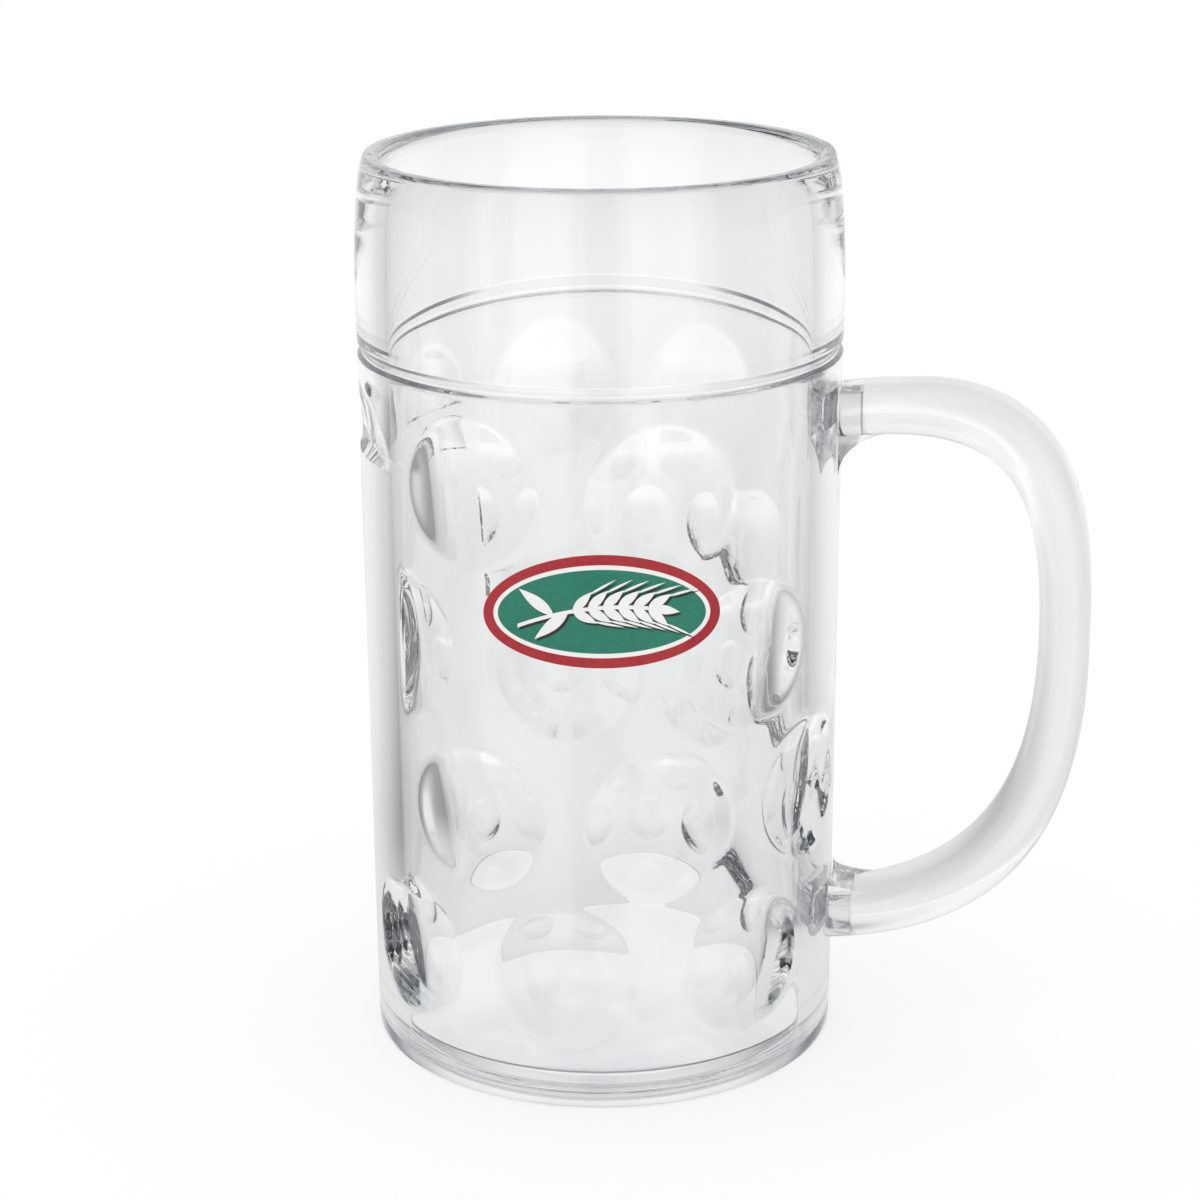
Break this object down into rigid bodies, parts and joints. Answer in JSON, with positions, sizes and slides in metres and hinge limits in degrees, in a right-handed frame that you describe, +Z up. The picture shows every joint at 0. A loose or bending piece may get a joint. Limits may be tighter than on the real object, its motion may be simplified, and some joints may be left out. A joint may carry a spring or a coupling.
{
  "type": "beer mug",
  "caption": "Clear plastic beer mug with a thick dimpled barrel, a groove under its smooth rim band, a plugged-in base disc and a separate D-shaped handle slipped over pegs.",
  "frame": {"origin": "centre of the flat underside of the base disc, on the barrel's axis", "axes": "+Z up along the barrel's axis, +X towards the handle, -Y towards the side that faces the picture"},
  "size_m": [0.161, 0.1058, 0.2],
  "materials": {
    "clear_barrel": "clear, polished",
    "clear_base": "clear, polished",
    "clear_handle": "clear, slightly soft",
    "cured_bond": "clear adhesive"
  },
  "bodies": {
    "root": {"barrel": "clear_barrel", "base_disc": "clear_base", "base_bond_ring": "cured_bond", "handle": "clear_handle", "upper_peg_bond": "cured_bond", "lower_peg_bond": "cured_bond"}
  },
  "joints": []
}
